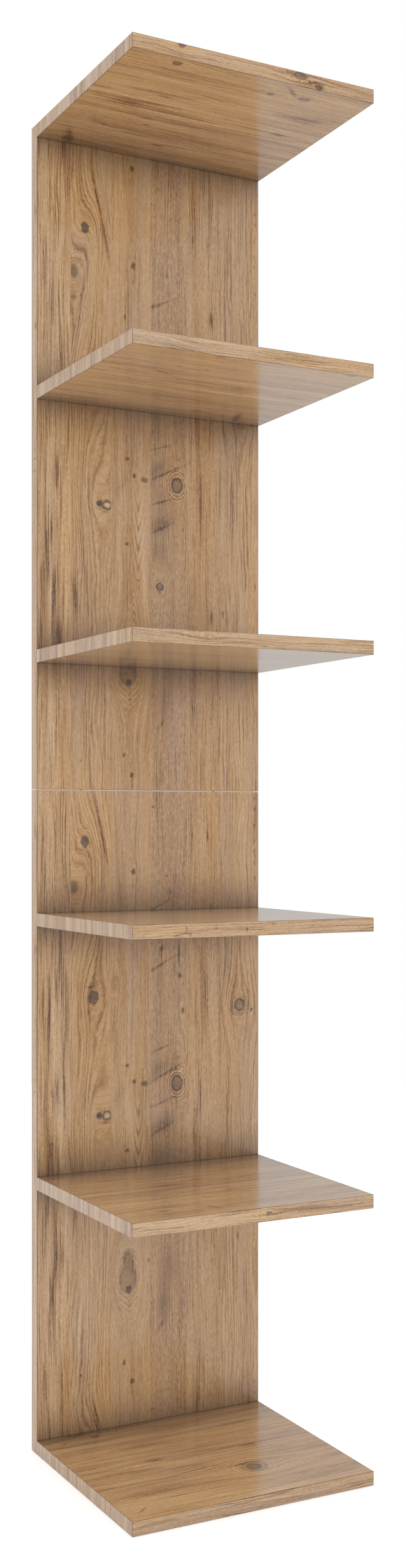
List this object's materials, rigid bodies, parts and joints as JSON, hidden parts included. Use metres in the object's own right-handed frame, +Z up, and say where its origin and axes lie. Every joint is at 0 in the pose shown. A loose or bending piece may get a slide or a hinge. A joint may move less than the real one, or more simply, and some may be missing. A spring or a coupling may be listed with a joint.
{
  "type": "wall shelf",
  "caption": "Tall narrow wall shelf: stacked back panels carry cantilevered shelves of faced board with edge bands, hung on keyhole plates let into the back.",
  "frame": {"origin": "bottom centre of the back, on the wall plane", "axes": "+X to the right seen from the front, +Y into the wall, +Z up along the back"},
  "size_m": [0.35, 0.3, 1.8],
  "materials": {
    "panel_decor": "printed rustic oak decor on faced board, upright grain in planks, satin",
    "shelf_decor": "printed rustic oak decor on faced board, grain along the shelf, satin",
    "shelf_front_band": "printed edge band, lighter oak, grain along the edge, satin",
    "shelf_end_band": "printed edge band, pale oak with short streaks across the edge, satin",
    "panel_edge_band": "printed edge band, pale oak, grain along the edge, satin",
    "connector_steel": "zinc plated, bright",
    "screw_steel": "yellow zinc plated",
    "plate_steel": "zinc plated sheet, satin",
    "dowel_beech": "plain beech, fluted"
  },
  "bodies": {
    "root": {"lower_back_panel": "panel_decor", "lower_panel_left_band": "panel_edge_band", "lower_panel_right_band": "panel_edge_band", "lower_panel_bottom_band": "panel_edge_band", "lower_panel_top_band": "panel_edge_band", "upper_back_panel": "panel_decor", "upper_panel_left_band": "panel_edge_band", "upper_panel_right_band": "panel_edge_band", "upper_panel_bottom_band": "panel_edge_band", "upper_panel_top_band": "panel_edge_band", "shelf_1": "shelf_decor", "shelf_1_front_band": "shelf_front_band", "shelf_1_left_band": "shelf_end_band", "shelf_1_right_band": "shelf_end_band", "shelf_1_screws": "connector_steel", "shelf_1_dowels": "dowel_beech", "shelf_2": "shelf_decor", "shelf_2_front_band": "shelf_front_band", "shelf_2_left_band": "shelf_end_band", "shelf_2_right_band": "shelf_end_band", "shelf_2_screws": "connector_steel", "shelf_2_dowels": "dowel_beech", "shelf_3": "shelf_decor", "shelf_3_front_band": "shelf_front_band", "shelf_3_left_band": "shelf_end_band", "shelf_3_right_band": "shelf_end_band", "shelf_3_screws": "connector_steel", "shelf_3_dowels": "dowel_beech", "shelf_4": "shelf_decor", "shelf_4_front_band": "shelf_front_band", "shelf_4_left_band": "shelf_end_band", "shelf_4_right_band": "shelf_end_band", "shelf_4_screws": "connector_steel", "shelf_4_dowels": "dowel_beech", "shelf_5": "shelf_decor", "shelf_5_front_band": "shelf_front_band", "shelf_5_left_band": "shelf_end_band", "shelf_5_right_band": "shelf_end_band", "shelf_5_screws": "connector_steel", "shelf_5_dowels": "dowel_beech", "shelf_6": "shelf_decor", "shelf_6_front_band": "shelf_front_band", "shelf_6_left_band": "shelf_end_band", "shelf_6_right_band": "shelf_end_band", "shelf_6_screws": "connector_steel", "shelf_6_dowels": "dowel_beech", "lower_left_hanger": "plate_steel", "lower_right_hanger": "plate_steel", "lower_hanger_screws": "screw_steel", "upper_left_hanger": "plate_steel", "upper_right_hanger": "plate_steel", "upper_hanger_screws": "screw_steel", "joining_pins": "connector_steel"}
  },
  "joints": []
}
